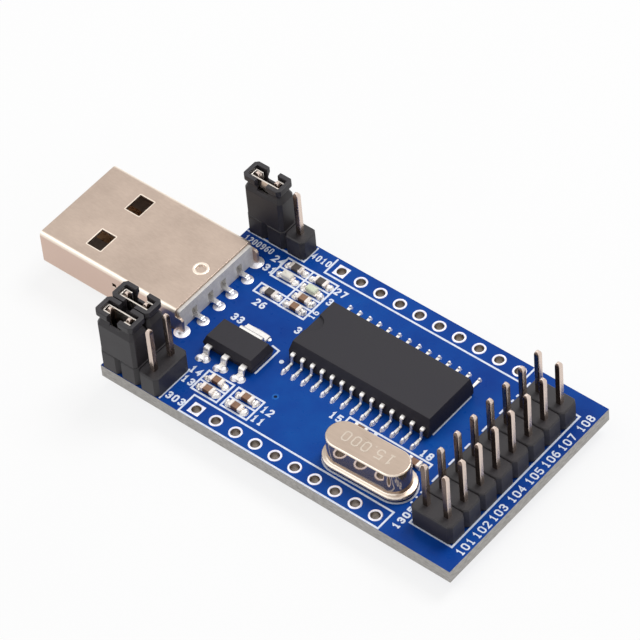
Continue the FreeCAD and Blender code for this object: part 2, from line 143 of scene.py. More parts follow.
class Finish(Nodes):
    """A material: constants go straight on its shader, and links are added by feed()."""

    def __init__(self, name, **constants):
        self.material = bpy.data.materials.new(name)
        self.material.use_nodes = True
        super().__init__(self.material.node_tree)
        self.shader = self.tree.nodes["Principled BSDF"]
        for words, value in constants.items():
            self.shader.inputs[words.replace("_", " ")].default_value = value

    def feed(self, socket, value):
        self.tree.links.new(value.socket, self.shader.inputs[socket])

    def colour(self, base, recolour=None):
        """Feed Base Color. A recolour function may first give some faces another colour."""
        self.feed("Base Color", recolour(self, base) if recolour else base)

    def place(self, stretch=(1, 1, 1)):
        """The surface's own coordinates, in millimetres, stretched along its axes."""
        here = self.node("ShaderNodeTexCoord", output="Object")
        return self.node(
            "ShaderNodeVectorMath", {"operation": "MULTIPLY"},
            {0: here, 1: tuple(side / MM for side in stretch)},
        )

    def across(self, axis):
        """The surface's own coordinate along one axis, in millimetres."""
        return self.node("ShaderNodeSeparateXYZ", None, {0: self.place()}, output=axis)

    def noise(self, scale, detail=3, stretch=(1, 1, 1)):
        return self.node(
            "ShaderNodeTexNoise", None,
            {"Vector": self.place(stretch), "Scale": scale, "Detail": detail, "Roughness": 0.55},
        )

    def mix(self, factor, first, second):
        """A colour between two others."""
        return self.node(
            "ShaderNodeMix", {"data_type": "RGBA"}, {0: factor, 6: first, 7: second}, output=2,
        )

    def ramp(self, value, *stops):
        return self.node("ShaderNodeValToRGB", {"stops": stops}, {0: value})

    def bump(self, height, strength, distance):
        """Relief: the height changes over the surface, its strength is a constant."""
        return self.node(
            "ShaderNodeBump", None, {"Height": height, "Strength": strength, "Distance": distance * MM},
        )

    def facing(self, axis):
        """1 where a face looks along an axis (0, 1 or 2), -1 where it looks the other way."""
        normal = self.node("ShaderNodeTexCoord", output="Normal")
        return self.node("ShaderNodeSeparateXYZ", None, {0: normal}, output=axis)

    def upright(self):
        """0 on a wall, 1 on a level face, whether it looks up or down."""
        return self.facing(2).absolute()

    def nearward(self):
        """1 where a face looks towards the near long side of the board."""
        return self.facing(1) * -1


print("shader helpers ready")

# %% [markdown]
# The board is woven glass and resin under a glossy blue mask. The mask covers its two faces and
# stops at the edges, where the pale sheet shows, so the colour is chosen by the way a face looks.
# Fine noise gives the mask the slight unevenness of a sprayed coat over the weave.

# %% The board's finish
mask = Finish("blue_mask_over_laminate", Specular_IOR_Level=0.12)
cloud = mask.noise(0.16, 4)
blue = mask.ramp(
    cloud, (0.3, (0.002, 0.042, 0.27)), (0.55, (0.003, 0.060, 0.33)), (0.8, (0.004, 0.088, 0.39)),
)
fibre = mask.noise(3.0, 2, (0.5, 0.5, 3.0))
sheet = mask.ramp(fibre, (0.3, (0.35, 0.335, 0.315)), (0.7, (0.58, 0.56, 0.535)))
level = mask.upright() > 0.7
mask.colour(mask.mix(level, sheet, blue))
mask.feed("Roughness", mask.noise(1.2, 2) * 0.10 + 0.62 - level * 0.38)
mask.feed("Normal", mask.bump(mask.noise(1.1, 2), 0.06, 0.01))
print("made", mask.material.name)

# %% [markdown]
# Where copper lies under the mask the blue is lighter. Such a ring surrounds the one small hole
# that joins the board's two faces, and the mask that fills the hole looks almost black.

# %% The finish over a buried ring
ring_blue = Finish("mask_over_copper", Specular_IOR_Level=0.15)
ring_tone = ring_blue.noise(0.3, 3)
ring_blue.colour(ring_blue.ramp(
    ring_tone, (0.3, (0.010, 0.105, 0.42)), (0.7, (0.016, 0.140, 0.50)),
))
ring_blue.feed("Roughness", ring_tone * 0.1 + 0.22)
pit = Finish("dark_hole_in_mask", Specular_IOR_Level=0.1)
pit.colour(pit.ramp(
    pit.noise(3.0, 2), (0.3, (0.002, 0.008, 0.030)), (0.7, (0.004, 0.014, 0.050)),
))
print("made", ring_blue.material.name, "and", pit.material.name)

# %% [markdown]
# The printed lines are screened in white ink. It has a cold tint over the blue and is thin enough
# to look uneven, so noise moves its colour and its roughness a little.

# %% Printed ink
ink = Finish("white_ink")
ink.colour(ink.ramp(
    ink.noise(2.5, 3), (0.25, (0.62, 0.70, 0.88)), (0.6, (0.84, 0.88, 0.97)),
))
ink.feed("Roughness", ink.noise(4.0, 2) * 0.2 + 0.45)
print("made", ink.material.name)

# %% [markdown]
# The plug and the crystal's can are plated sheet metal: satin, a little warm, with a fine grain
# left by rolling and drawing. Long thin noise along the sheet gives that grain. A painted highlight
# lightens the long folded edges, the plug's near side is painted lighter as if lit, and two faces of
# each pin are painted dark as shade. Such places are found by the way a face looks, and a small
# recolour function puts them over the common finish.

# %% Plated sheet metal
def sheet_metal(name, pale, deep, roughness, grain, polish=0.0, metallic=1.0, recolour=None):
    """Drawn or rolled sheet and wire. With some polish, upright walls are smoother than the top."""
    finish = Finish(name, Metallic=metallic)
    lines = finish.noise(1.6, 4, grain)
    smudge = finish.noise(0.22, 3)
    finish.colour(finish.ramp(lines * 0.45 + smudge * 0.55, (0.35, deep), (0.65, pale)), recolour)
    wall = 1 - finish.upright()
    finish.feed("Roughness", smudge * 0.16 + lines * 0.10 + roughness - wall * polish)
    finish.feed("Normal", finish.bump(lines, 0.10, 0.01))
    print("made", name)
    return finish


def paint_highlight_on_bends(finish, colour):
    """Painted highlight: the long folded edges, which look half up and half sideways, are painted
    bright.
    """
    highlight_share = finish.facing(1).absolute() * finish.upright() * 2.1 - 0.15
    return finish.mix(highlight_share, colour, (1.0, 0.90, 0.78))


def paint_light_on_near_side(finish, colour):
    """Painted light: the plug's near side is painted brighter and warmer than its top, as if lit."""
    side = finish.mix(finish.nearward() > 0.9, colour, (0.64, 0.475, 0.395))
    return paint_highlight_on_bends(finish, side)


def paint_shade_on_two_faces(axis):
    """Painted shade: two opposite faces of a pin are painted brown and dark."""
    def recolour(finish, colour):
        return finish.mix(finish.facing(axis).absolute() > 0.72, colour, (0.17, 0.125, 0.105))
    return recolour


plug_metal = sheet_metal(
    "satin_plug_sheet", (0.545, 0.435, 0.360), (0.475, 0.375, 0.310), 0.24, (1.2, 4, 4),
    recolour=paint_light_on_near_side,
)
can_metal = sheet_metal(
    "satin_can_sheet", (0.53, 0.420, 0.340), (0.475, 0.375, 0.300), 0.17, (0.4, 4, 4),
    polish=0.25, metallic=0.80, recolour=paint_highlight_on_bends,
)
# Painted shade: pin wire with two opposite faces painted dark, across the board or along it.
pin_metal, pin_metal_shaded_along_x = [
    sheet_metal(
        name, (0.76, 0.63, 0.55), (0.66, 0.54, 0.47), 0.12, (1.5, 1.5, 0.3), recolour=paint_shade_on_two_faces(axis),
    )
    for name, axis in (("plated_pin_wire", 1), ("plated_pin_wire_shaded_along_x", 0))
]
# Painted highlight: the bright finish of the plug's window and dimple rims.
highlight_rim_metal = sheet_metal(
    "plug_rim_painted_highlight", (0.96, 0.84, 0.72), (0.84, 0.72, 0.61), 0.20, (2, 2, 2),
)
clip_metal = sheet_metal(
    "plated_spring_sheet", (0.84, 0.78, 0.71), (0.70, 0.64, 0.58), 0.18, (1, 6, 1),
)
lead_metal = sheet_metal(
    "tinned_lead_sheet", (0.94, 0.91, 0.88), (0.82, 0.79, 0.76), 0.24, (5, 1, 1), metallic=0.8,
)

# %% [markdown]
# Solder is tin that froze as it wetted the metal: bright, smooth in the large and dimpled in
# the small. The plated holes carry the same metal in a thin coat, painted brown and dark down in the
# barrel as shade.
# Gold flash covers the contacts at the mouth of the plug, painted darker and browner than gold as
# the shade inside the shell, and their tails behind the block are tinned, so that colour is chosen
# by the place along the plug.

# %% Tin and gold
TIN_FROM = -12.5


def cast_metal(name, pale, deep, roughness, scale, relief, metallic=1.0, recolour=None):
    """Metal that froze or was plated: its dimples move colour, roughness and relief together."""
    finish = Finish(name, Metallic=metallic)
    dimple = finish.noise(scale, 3)
    finish.colour(finish.ramp(dimple, (0.3, deep), (0.7, pale)), recolour)
    finish.feed("Roughness", dimple * 0.22 + roughness)
    finish.feed("Normal", finish.bump(dimple, relief, 0.03))
    print("made", name)
    return finish


def paint_shade_in_barrel(finish, land):
    # Painted shade: the barrel is painted brown and dark where shade falls inside the hole.
    barrel = finish.ramp(finish.noise(2.0, 3), (0.3, (0.20, 0.17, 0.15)), (0.7, (0.42, 0.36, 0.31)))
    return finish.mix(finish.upright() > 0.5, barrel, land)


def tin_tails(finish, flash):
    return finish.mix(finish.across(0) > TIN_FROM, flash, (0.86, 0.85, 0.84))


solder = cast_metal("bright_solder", (0.95, 0.94, 0.98), (0.84, 0.82, 0.86), 0.26, 2.4, 0.30, 0.70)
rough_solder = cast_metal(
    "grainy_solder", (0.96, 0.93, 0.90), (0.70, 0.67, 0.64), 0.24, 4.5, 0.8, 0.75,
)
hole_plating = cast_metal(
    "plated_hole", (0.90, 0.88, 0.96), (0.76, 0.75, 0.84), 0.26, 2.0, 0.25, recolour=paint_shade_in_barrel,
)
end_metal = cast_metal(
    "tinned_part_end", (0.94, 0.88, 0.83), (0.78, 0.71, 0.66), 0.28, 5.0, 0.5, 0.75,
)
# Painted shade: the gold is darker and browner than gold, as the shade inside the plug's shell.
gold = cast_metal(
    "gold_flash_painted_shade", (0.50, 0.34, 0.20), (0.34, 0.22, 0.13), 0.18, 1.5, 0.1, recolour=tin_tails,
)

# %% [markdown]
# The plastics are dark, and what tells them apart is how they scatter light: the headers and
# caps are moulded with a fine matte skin, the chips are filled with powder and look stony. The
# plug's nylon is pale behind the block, where it is seen, and painted brown inside the shell as
# the shade there. The capacitors' ceramic is painted darker on its near side as shade.

# %% Plastics and ceramics
NYLON_PAINTED_SHADE_ENDS = -13.5


def moulded(name, dark, light, roughness, scale, relief, gloss=0.5, haze_share=0.4, recolour=None):
    """Plastic or ceramic: a fine grain over a wide, faint haze."""
    finish = Finish(name, Specular_IOR_Level=gloss)
    grain = finish.noise(scale, 4)
    haze = finish.noise(0.3, 2)
    tone = grain * (1 - haze_share) + haze * haze_share
    finish.colour(finish.ramp(tone, (0.3, dark), (0.7, light)), recolour)
    finish.feed("Roughness", haze * 0.16 + grain * 0.08 + roughness)
    finish.feed("Normal", finish.bump(grain, relief, 0.02))
    print("made", name)
    return finish


def paint_shade_inside_shell(finish, outer):
    # Painted shade: inside the shell the nylon is painted brown.
    inner = finish.ramp(finish.noise(3.0, 4), (0.3, (0.20, 0.155, 0.125)), (0.7, (0.27, 0.21, 0.17)))
    return finish.mix(finish.across(0) > NYLON_PAINTED_SHADE_ENDS, inner, outer)


def paint_shade_on_near_side(finish, colour):
    # Painted shade: the near side of the ceramic is painted darker.
    return finish.mix(finish.nearward() > 0.5, colour, (0.085, 0.036, 0.022))


header_black = moulded(
    "black_header_plastic", (0.011, 0.010, 0.012), (0.025, 0.021, 0.025), 0.38, 6.0, 0.15,
)
compound = moulded(
    "dark_chip_compound", (0.012, 0.0105, 0.0145), (0.021, 0.0185, 0.025), 0.50, 9.0, 0.35,
    gloss=0.38,
)
nylon = moulded(
    "pale_plug_nylon", (0.66, 0.64, 0.61), (0.78, 0.76, 0.73), 0.42, 3.0, 0.10,
    haze_share=0.0, recolour=paint_shade_inside_shell,
)
capacitor_brown = moulded(
    "fired_brown_ceramic", (0.17, 0.085, 0.048), (0.33, 0.185, 0.110), 0.50, 3.2, 0.3,
    recolour=paint_shade_on_near_side,
)
resistor_dark = moulded(
    "dark_resistor_glaze", (0.035, 0.028, 0.026), (0.075, 0.060, 0.055), 0.40, 4.0, 0.2,
)

# %% [markdown]
# The two indicator lights have a milky resin lens over a pale base. A little light passes
# into such resin, but at this size a pale, smooth, coated surface says the same. The etched
# number on the crystal's can is a pale matte patch of the metal, so it has a finish here too.

# %% Lens resin and etched number
def resin(name, low, high):
    finish = Finish(name, Coat_Weight=0.5, Coat_Roughness=0.1)
    depth = finish.noise(2.2, 3)
    finish.colour(finish.ramp(depth, (0.3, low), (0.7, high)))
    finish.feed("Roughness", depth * 0.15 + 0.22)
    return finish


white_lens = resin("milky_white_lens", (0.74, 0.70, 0.62), (0.90, 0.88, 0.80))
green_lens = resin("pale_green_lens", (0.64, 0.70, 0.50), (0.84, 0.88, 0.70))
can_ink = Finish("pale_etched_number", Roughness=0.6)
can_ink.colour(can_ink.ramp(
    can_ink.noise(3.0, 3), (0.3, (0.64, 0.55, 0.45)), (0.7, (0.74, 0.64, 0.54)),
))
print("finishes:", len(bpy.data.materials))

# %% [markdown]
# Most pieces are lofts: rings of points, one above another, joined into walls. A Form collects
# such walls for one piece, or for a group of like pieces, and then makes one mesh of them.

# %% Rings of points, in board millimetres
def circle(x, y, z, radius, count):
    turns = [2 * math.pi * step / count for step in range(count)]
    return [(x + radius * math.cos(turn), y + radius * math.sin(turn), z) for turn in turns]


def oval(x, y, z, half_x, half_y):
    return [(x + half_x * (px - x), y + half_y * (py - y), z) for px, py, z in circle(x, y, z, 1, 16)]


def rounded_rectangle(x, y, z, half_x, half_y, radius, steps=4):
    """A level rectangle whose corners are arcs."""
    points = []
    for quarter, (sx, sy) in enumerate(((1, 1), (-1, 1), (-1, -1), (1, -1))):
        for step in range(steps + 1):
            turn = math.pi / 2 * (quarter + step / steps)
            points.append((
                x + sx * (half_x - radius) + radius * math.cos(turn),
                y + sy * (half_y - radius) + radius * math.sin(turn), z,
            ))
    return points


def stadium(x, y, z, length, width, turn):
    """A level outline with straight sides and half-round ends, turned by an angle."""
    steps = 14
    radius = width / 2
    run = length / 2 - radius
    points = []
    for side in (1, -1):
        for step in range(steps + 1):
            angle = math.pi * (step / steps - side / 2)
            points.append((side * run + radius * math.cos(angle), radius * math.sin(angle)))
    c, s = math.cos(turn), math.sin(turn)
    return [(x + c * px - s * py, y + s * px + c * py, z) for px, py in points]


print("a can's outline has", len(stadium(0, 0, 0, 2, 1, 0)), "points")

# %% [markdown]
# A Form keeps its points and faces as plain lists. It walls up the rings that it is given, also
# round a bent strip of sheet, and at the end turns the faces outwards and makes the mesh. Every
# piece is then dressed in the same way: smooth shading inside its sharp edges, with the large
# faces ruling the normals, its finish and the body of the model that it rides on.

# %% Forms and dressing
class Form:
    """Vertices and faces in board millimetres, made into one mesh at the end."""

    def __init__(self):
        self.points = []
        self.faces = []
        self.strokes = 0

    def ring(self, points):
        start = len(self.points)
        self.points += points
        return list(range(start, start + len(points)))

    def loft(self, rings, closed=False):
        """Walls between rings that have the same number of points, closed by caps or in a loop."""
        made = [self.ring(ring) for ring in rings]
        pairs = list(zip(made, made[1:])) + ([(made[-1], made[0])] if closed else [])
        for low, high in pairs:
            for index in range(len(low)):
                after = (index + 1) % len(low)
                self.faces.append((low[index], low[after], high[after], high[index]))
        if not closed:
            self.faces += [tuple(reversed(made[0])), tuple(made[-1])]

    def strip(self, path, widths, thickness, x, side, start_y):
        """A bent strip of sheet: its path lies in y and z, its width along x."""
        soft = 0.06
        rings = []
        for index, (out, z) in enumerate(path):
            before = path[max(index - 1, 0)]
            after = path[min(index + 1, len(path) - 1)]
            dy, dz = after[0] - before[0], after[1] - before[1]
            size = math.hypot(dy, dz)
            ny, nz = -dz / size, dy / size
            half = widths[index] / 2
            section = []
            for u, v in ((-half + soft, -1), (half - soft, -1), (half, -0.4), (half, 0.4),
                         (half - soft, 1), (-half + soft, 1), (-half, 0.4), (-half, -0.4)):
                reach = v * thickness / 2
                section.append((x + u, start_y + side * (out + ny * reach), z + nz * reach))
            rings.append(section if side > 0 else section[::-1])
        self.loft(rings)

    def make(self, name, finish, slot, replaces=None, sharp=35):
        """One object from all the walls, riding on the module."""
        mesh = bpy.data.meshes.new(name)
        mesh.from_pydata([at(*point) for point in self.points], [], self.faces)
        work = bmesh.new()
        work.from_mesh(mesh)
        bmesh.ops.recalc_face_normals(work, faces=work.faces)
        work.to_mesh(mesh)
        work.free()
        dress(name, mesh, finish, "module", replaces, sharp)


def even_normals(mesh, sharp):
    """Let the large faces rule the shading, so that a flat face beside a rounded edge stays flat."""
    around = [[] for _ in mesh.vertices]
    for polygon in mesh.polygons:
        for vertex in polygon.vertices:
            around[vertex].append((polygon.normal.copy(), polygon.area))
    limit = math.cos(math.radians(sharp))
    shading = []
    for polygon in mesh.polygons:
        facing = polygon.normal.copy()
        for vertex in polygon.vertices:
            total = Vector((0, 0, 0))
            for normal, area in around[vertex]:
                if normal.dot(facing) > limit:
                    total += normal * area
            shading.append((total.normalized() if total.length else facing)[:])
    mesh.normals_split_custom_set(shading)


def dress(name, mesh, finish, body, replaces, sharp):
    """Give a mesh its object, its finish and the body that it rides on."""
    mesh.shade_smooth()
    mesh.set_sharp_from_angle(angle=math.radians(sharp))
    even_normals(mesh, sharp)
    made = bpy.data.objects.new(name, mesh)
    bpy.context.scene.collection.objects.link(made)
    mesh.materials.append(finish.material)
    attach(made, body)
    if replaces:
        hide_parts(replaces)
    print(f"{name}: {len(mesh.polygons)} faces")


# %% [markdown]
# A solid whose shape is already right only lacks what every moulded or stamped edge has: a
# small radius that catches the light. Its mesh is copied, the triangles on each flat face are
# joined again, and the sharp edges are bevelled. The model's own solid stays as it was.

# %% Soften a copy of a solid
SHARP_FROM = math.radians(25)


def soften(node, finish, width, segments=2, body="module", reshape=None):
    mesh = nodes[node].data.copy()
    mesh.materials.clear()
    if reshape:
        reshape(mesh)
    work = bmesh.new()
    work.from_mesh(mesh)
    bmesh.ops.remove_doubles(work, verts=work.verts, dist=0.002 * MM)
    bmesh.ops.dissolve_limit(
        work, angle_limit=math.radians(3), verts=work.verts, edges=work.edges, delimit=set(),
    )
    sharp = [edge for edge in work.edges if len(edge.link_faces) == 2
             and edge.calc_face_angle(0) > SHARP_FROM]
    bmesh.ops.bevel(
        work, geom=sharp, offset=width * MM, segments=segments, profile=0.5,
        affect="EDGES", clamp_overlap=True, harden_normals=False,
    )
    bmesh.ops.triangulate(work, faces=[face for face in work.faces if len(face.verts) > 4])
    work.to_mesh(mesh)
    work.free()
    dress(node + "_look", mesh, finish, body, node, 40)


print("solids to start from:", len(nodes))

# %% [markdown]
# Each of the two rows has ten plated holes. A hole is a ring of metal with a land on each face
# of the board and a thin lining between them. A closed loft makes it: the rings of points run
# up the inside, out over the land, down the outside and back. The first land of a row is square.

# %% Plated holes
PITCH = 2.54
ROW_Y = 4.5 * PITCH
ROW_X = [(index - 4.5) * PITCH for index in range(10)]
HOLE, LAND, SQUARE_LAND = 0.5, 0.75, 0.72
LAND_TOP, LAND_BOTTOM = 0.05, -1.65


def plated_hole(form, x, y, square):
    """HOLE, LAND and SQUARE_LAND are half widths, and a square land is drawn out of a circle."""
    def ring(radius, z, outer=False):
        if not (square and outer):
            return circle(x, y, z, radius, 32)
        points = []
        for px, py, pz in circle(0, 0, z, 1, 32):
            reach = (radius - LAND + SQUARE_LAND) / max(abs(px), abs(py))
            points.append((x + px * reach, y + py * reach, pz))
        return points

    form.loft([
        ring(HOLE, LAND_BOTTOM + 0.05), ring(HOLE, LAND_TOP - 0.06), ring(HOLE + 0.05, LAND_TOP),
        ring(LAND - 0.06, LAND_TOP, True), ring(LAND - 0.005, LAND_TOP - 0.045, True),
        ring(LAND - 0.005, LAND_BOTTOM + 0.045, True), ring(LAND - 0.06, LAND_BOTTOM, True),
        ring(HOLE + 0.05, LAND_BOTTOM),
    ], closed=True)


for name, y in (("near", -ROW_Y), ("far", ROW_Y)):
    holes = Form()
    for index, x in enumerate(ROW_X):
        plated_hole(holes, x, y, index == 0)
    holes.make(name + "_holes_look", hole_plating, "tin", name + "_row_plated_holes")

# %% [markdown]
# The header pins are square wire with both ends swaged to a blunt point. Their edges are
# rounded, so each section is a small rounded square, and the last sections close the tip. Two
# opposite faces of each pin are painted dark as shade: for most headers the faces that look towards
# the board's long sides, for the supply header the faces that look towards its ends.

# %% Header pins
def pin_places(x_middle, y_middle, columns, rows):
    return [
        (x_middle + (i - (columns - 1) / 2) * PITCH, y_middle + (j - (rows - 1) / 2) * PITCH)
        for i in range(columns) for j in range(rows)
    ]


SELECT_X = -19.21
headers = {
    "signal": pin_places(17.2, 0, 2, 8),
    "supply": pin_places(SELECT_X, -4 * PITCH, 3, 2),
    "mode": pin_places(SELECT_X, ROW_Y, 3, 1),
}
PIN_PROFILE = (
    (-3.1, 0.11), (-3.06, 0.15), (-2.6, 0.32),
    (7.92, 0.32), (8.08, 0.305), (8.22, 0.26), (8.33, 0.19), (8.4, 0.10),
)
for name, places in headers.items():
    pins = Form()
    for x, y in places:
        pins.loft([
            rounded_rectangle(x, y, z, half, half, min(0.12, half * 0.6), 3) for z, half in PIN_PROFILE
        ])
    # The supply header's pins take the finish with painted shade on the faces that look towards the
    # board's ends.
    wire = pin_metal_shaded_along_x if name == "supply" else pin_metal
    pins.make(name + "_pins_look", wire, "pin_metal", name + "_header_pins")

# %% [markdown]
# Under the pins sit the moulded bases, rows of cells with a notch where two cells meet. Every
# cell's top edge is broken, and that leaves the dark grooves between cells. So each cell is a
# short eight-sided block of its own rings. The three caps are softened copies of their solids.

# %% Header bases and jumper caps
BASE_TOP = 2.54
CELL_PROFILE = (
    (0.02, 0.06), (0.10, 0.0), (BASE_TOP - 0.24, 0.0), (BASE_TOP - 0.10, 0.04), (BASE_TOP, 0.15),
)


def base_cell(form, x, y, half_x, half_y):
    """One cell of a header base, standing on the board, with its top edge broken all round."""
    rings = []
    for z, inset in CELL_PROFILE:
        ring = []
        cut = 0.42 - inset / 2
        for sx, sy in ((-1, -1), (1, -1), (1, 1), (-1, 1)):
            flat = (x + sx * (half_x - inset - cut), y + sy * (half_y - inset), z)
            upright = (x + sx * (half_x - inset), y + sy * (half_y - inset - cut), z)
            ring += [upright, flat] if sx * sy > 0 else [flat, upright]
        rings.append(ring)
    form.loft(rings)


for name, places in headers.items():
    base = Form()
    own_axis = 1 if name == "signal" else 0
    others = [place[1 - own_axis] for place in places]
    middle = (min(others) + max(others)) / 2
    reach = (max(others) - min(others) + PITCH) / 2
    for row in sorted({round(place[own_axis], 3) for place in places}):
        if own_axis:
            base_cell(base, middle, row, reach, PITCH / 2)
        else:
            base_cell(base, row, middle, PITCH / 2, reach)
    base.make(name + "_base_look", header_black, "black_plastic", name + "_header_base", sharp=30)
for cap in ("supply_cap_near", "supply_cap_far", "mode_cap"):
    soften(cap + "_housing", header_black, 0.09, 3, body=cap)
    soften(cap + "_clip", clip_metal, 0.03, 2, body=cap)

# %% [markdown]
# The main chip is a block of moulding compound. Its sides lean in above and below the line
# where the two mould halves met, and a half-round notch marks the end with the first lead. On
# the real chip only the upper near side leans in much. So the scene's copy of the solid is made
# steeper on the other sides, and the widest line stays where it was.

# %% Chip bodies
CHIP_X, CHIP_Y, CHIP_HALF = 0.75, 2.73, 3.5
MOULD_LINE_Z, NOTCH_ZONE, STEEPER = 1.3, 2.0, 0.38


def steepen_sides(mesh):
    """Move the far side, and the lower half of both, out in step with their lean."""
    middle = at(CHIP_X, CHIP_Y, MOULD_LINE_Z)
    heights = [vertex.co.z for vertex in mesh.vertices]
    for vertex in mesh.vertices:
        place = vertex.co
        above, far = place.z > middle.z, place.y > middle.y
        if abs(place.y - middle.y) < NOTCH_ZONE * MM or (above and not far):
            continue
        share = (place.z - middle.z) / ((max(heights) if above else min(heights)) - middle.z)
        place.y += (STEEPER if far else -STEEPER) * MM * share


soften("serial_chip_body", compound, 0.06, 2, reshape=steepen_sides)
soften("regulator_body", compound, 0.06, 2)

# %% [markdown]
# A gull-wing lead leaves the body level, bends down and ends in a flat foot. It is stamped
# sheet, wider at the shoulder than below it. The path bends in small arcs and the strip follows.

# %% Gull-wing leads
def bent_path(corners, radius, steps=4):
    """A path through corners, with each inner corner rounded."""
    path = [corners[0]]
    for before, here, after in zip(corners, corners[1:], corners[2:]):
        a = Vector(before) - Vector(here)
        b = Vector(after) - Vector(here)
        cut = min(radius, a.length * 0.45, b.length * 0.45)
        start = Vector(here) + a.normalized() * cut
        end = Vector(here) + b.normalized() * cut
        for step in range(steps + 1):
            t = step / steps
            point = start * (1 - t) ** 2 + Vector(here) * 2 * t * (1 - t) + end * t ** 2
            path.append((point.x, point.y))
    path.append(corners[-1])
    return path


def lead_widths(path, shoulder, neck, foot):
    """Wide at the shoulder, narrow where the lead drops, wider again along the foot."""
    longest = path[-1][0]
    widths = []
    for out, z in path:
        share = min(max((out - 0.6) / (longest - 0.6), 0), 1)
        widths.append(shoulder if z > 1.1 else neck + (foot - neck) * share)
    return widths


CHIP_LEAD_X = [CHIP_X + (index - 6.5) * 1.27 for index in range(14)]
chip_corners = [(-0.15, 1.25), (0.33, 1.25), (0.50, 0.11), (0.9, 0.11), (1.3, 0.11), (1.93, 0.11)]
chip_path = bent_path(chip_corners, 0.24)
chip_widths = lead_widths(chip_path, 0.48, 0.30, 0.40)
for name, side in (("near", -1), ("far", 1)):
    leads = Form()
    for x in CHIP_LEAD_X:
        leads.strip(chip_path, chip_widths, 0.2, x, side, CHIP_Y + side * CHIP_HALF)
    leads.make(f"chip_{name}_leads_look", lead_metal, "tin", f"serial_chip_{name}_leads")

# %% [markdown]
# The solder under a foot spreads over its land and climbs the metal. Seen from above it is a
# bright bead, wider than the lead, with a hollow flank, so each bead is a loft of ovals.

# %% Beads of solder
FLANK = (
    (1.0, 0.0), (0.93, 0.12), (0.82, 0.32), (0.70, 0.58), (0.55, 0.82), (0.34, 0.96), (0.12, 1.0),
)


def bead(form, x, y, half_x, half_y, height, z=0.0, flank=FLANK):
    """The flank gives the share of the width at each share of the height."""
    form.loft([oval(x, y, z + height * up, half_x * out, half_y * out) for out, up in flank])


chip_beads = Form()
for x in CHIP_LEAD_X:
    bead(chip_beads, x, CHIP_Y - 5.28, 0.28, 0.43, 0.42)
    bead(chip_beads, x, CHIP_Y - 4.85, 0.23, 0.52, 0.13)
for x in CHIP_LEAD_X:
    bead(chip_beads, x, CHIP_Y + 5.34, 0.25, 0.27, 0.40)
chip_beads.make("chip_solder_beads", solder, "tin")

# %% [markdown]
# The regulator stands on three leads and a wide tab, which is one piece with the middle lead.
# They are bent from the same kind of sheet as the chip's leads, so the same strip makes them
# from a shorter path, and the solder runs out in two lobes round each foot.

# %% Regulator metal
REGULATOR_X, REGULATOR_Y, REGULATOR_HALF = -12.96, -3.06, 1.75
LEAD_WIDE, TAB_WIDE, REGULATOR_SHEET, LEAD_SPREAD = 0.74, 3.0, 0.28, 2.3
regulator_path = bent_path([(-0.2, 0.85), (0.46, 0.85), (0.58, 0.15), (1.48, 0.15)], 0.12)


def regulator_strip(form, offset, side, width):
    form.strip(
        regulator_path, [width] * len(regulator_path), REGULATOR_SHEET,
        REGULATOR_X + offset, side, REGULATOR_Y + side * REGULATOR_HALF,
    )


outer_leads = Form()
for side in (-1, 1):
    regulator_strip(outer_leads, side * LEAD_SPREAD, -1, LEAD_WIDE)
outer_leads.make("regulator_leads_look", lead_metal, "tin", "regulator_leads")
tab = Form()
regulator_strip(tab, 0, -1, LEAD_WIDE)
regulator_strip(tab, 0, 1, TAB_WIDE)
tab.make("regulator_tab_look", lead_metal, "tin", "regulator_tab")
regulator_beads = Form()
for offset in (-LEAD_SPREAD, 0, LEAD_SPREAD):
    for lobe in (-0.32, 0.36):
        bead(regulator_beads, REGULATOR_X + offset + lobe, REGULATOR_Y - 2.92 + 0.3 * lobe,
             0.48, 0.50, 0.34)
bead(regulator_beads, REGULATOR_X, REGULATOR_Y + 3.0, 1.75, 0.52, 0.26)
regulator_beads.make("regulator_solder_beads", solder, "tin")

# %% [markdown]
# The crystal's can is drawn from thin sheet: straight walls, a soft top edge, and a rim that is
# rolled over the plate under it. One loft of stadium outlines follows that whole profile.

# %% Crystal can
CRYSTAL_X, CRYSTAL_Y, CRYSTAL_TURN = 7.62, -7.5, math.radians(1.6)
CAN_LENGTH, CAN_WIDTH, CAN_TOP = 9.75, 3.58, 3.66
RIM_LENGTH, RIM_WIDTH = 10.9, 4.4
RIM_TOP, EDGE_RUN, EDGE_DROP = 0.85, 0.4, 0.2
profile = [
    (RIM_WIDTH - 0.16, 0.42), (RIM_WIDTH - 0.02, 0.50), (RIM_WIDTH, 0.60), (RIM_WIDTH - 0.06, 0.72),
    (RIM_WIDTH - 0.24, 0.80), (CAN_WIDTH + 0.22, 0.82), (CAN_WIDTH + 0.05, 0.88), (CAN_WIDTH, 1.0),
    (CAN_WIDTH, CAN_TOP - EDGE_DROP),
]
for step in range(1, 7):
    turn = math.pi / 2 * step / 6
    profile.append((
        CAN_WIDTH - EDGE_RUN * (1 - math.cos(turn)), CAN_TOP - EDGE_DROP + EDGE_DROP * math.sin(turn),
    ))


def can_outline(width, z, straight):
    return stadium(CRYSTAL_X, CRYSTAL_Y, z, width + straight, width, CRYSTAL_TURN)


can = Form()
can.loft([
    can_outline(width, z, RIM_LENGTH - RIM_WIDTH if z < RIM_TOP else CAN_LENGTH - CAN_WIDTH)
    for width, z in profile
])
can.make("crystal_can_look", can_metal, "can_steel", "crystal_can", sharp=60)
plate = Form()
plate.loft([can_outline(4.0, z, 6.5) for z in (0.2, 0.42)])
plate.make("crystal_plate_look", can_metal, "can_steel", "crystal_base")
